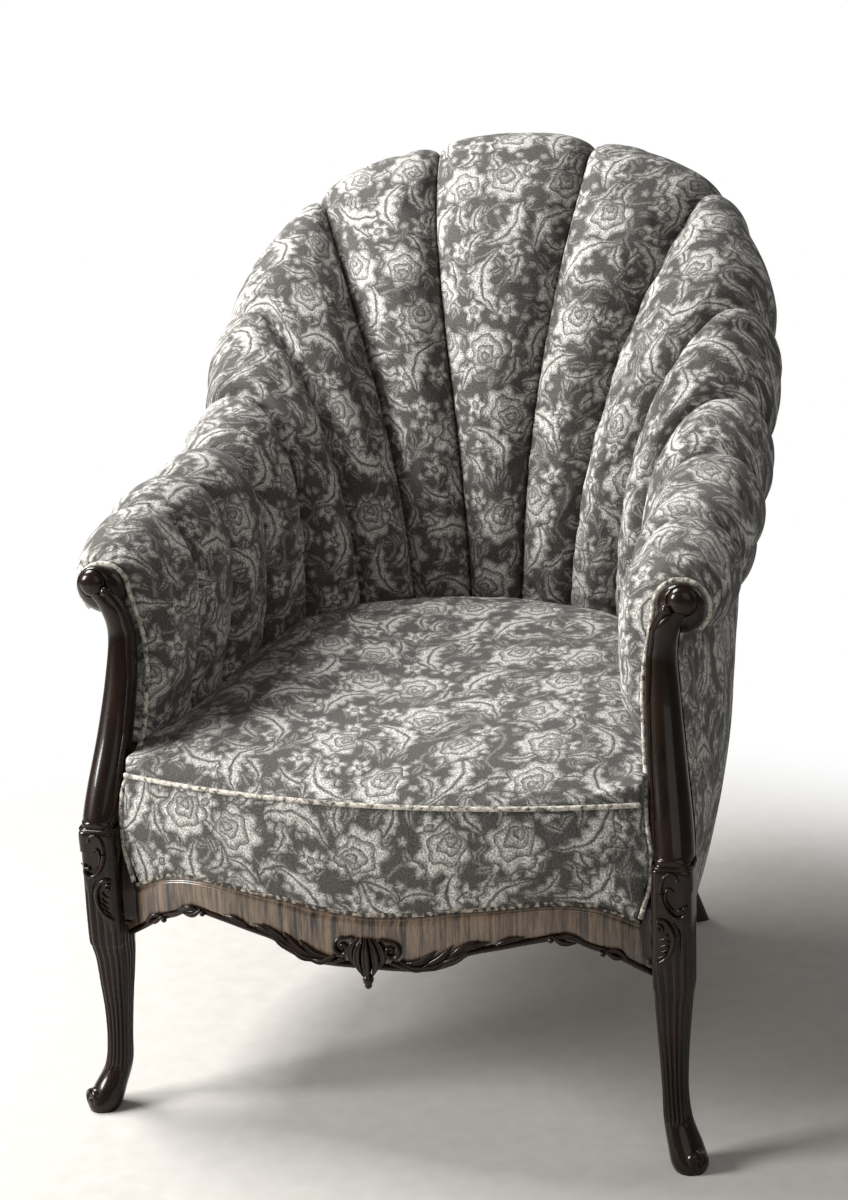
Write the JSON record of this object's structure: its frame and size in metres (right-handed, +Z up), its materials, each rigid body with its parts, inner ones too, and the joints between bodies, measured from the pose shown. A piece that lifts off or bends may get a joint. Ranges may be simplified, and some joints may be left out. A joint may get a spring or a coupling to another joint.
{
  "type": "easy chair",
  "caption": "Tub easy chair with a high channelled back that sweeps into rolled arms, a tight sprung seat and a carved show-wood front.",
  "frame": {"origin": "on the floor, at the middle of the chair's width and depth", "axes": "+Z up; the chair faces -Y; +X is to the right as seen by someone who stands in front of it"},
  "size_m": [0.7488, 0.8662, 1.0449],
  "materials": {
    "show_wood": "dark walnut, carved and French polished to a high gloss",
    "rail_veneer": "ribbon-grain veneer, dark and polished",
    "frame_wood": "beech, planed and unfinished",
    "velvet": "figured cut velvet with a raised floral pattern, light on a dark ground",
    "piping": "piped cord and flat gimp, woven",
    "hessian": "plain woven jute",
    "webbing": "herringbone jute webbing",
    "cambric": "black glazed cotton",
    "spring_wire": "lacquered spring wire",
    "screws": "plain countersunk screws"
  },
  "bodies": {
    "root": {"front_leg_left": "show_wood", "front_leg_right": "show_wood", "arm_post_left": "show_wood", "arm_post_right": "show_wood", "front_rail": "frame_wood", "rail_facing": "rail_veneer", "rail_bead": "show_wood", "rail_cartouche": "show_wood", "rail_carving_left": "show_wood", "rail_carving_right": "show_wood", "back_upright_left": "frame_wood", "back_upright_right": "frame_wood", "side_rail_left": "frame_wood", "side_rail_right": "frame_wood", "back_rail": "frame_wood", "corner_blocks": "frame_wood", "corner_screws": "screws", "rail_dowels": "frame_wood", "post_dowels": "frame_wood", "arm_rail_left": "frame_wood", "arm_rail_right": "frame_wood", "crest_rail": "frame_wood", "arm_lining_rail_left": "frame_wood", "arm_lining_rail_right": "frame_wood", "back_lining_rail": "frame_wood", "back_studs": "frame_wood", "webbing_battens": "frame_wood", "seat_webbing": "webbing", "seat_springs": "spring_wire", "seat_hessian": "hessian", "seat_pad": "velvet", "seat_piping": "piping", "post_piping_left": "piping", "post_piping_right": "piping", "rail_gimp": "piping", "arm_hessian_left": "hessian", "arm_hessian_right": "hessian", "back_hessian": "hessian", "channel_centre": "velvet", "channel_left_1": "velvet", "channel_left_2": "velvet", "channel_left_3": "velvet", "channel_left_4": "velvet", "channel_left_5": "velvet", "channel_left_6": "velvet", "channel_left_7": "velvet", "channel_right_1": "velvet", "channel_right_2": "velvet", "channel_right_3": "velvet", "channel_right_4": "velvet", "channel_right_5": "velvet", "channel_right_6": "velvet", "channel_right_7": "velvet", "outside_arm_left": "velvet", "outside_arm_right": "velvet", "outside_back": "velvet", "dust_cover": "cambric"}
  },
  "joints": []
}
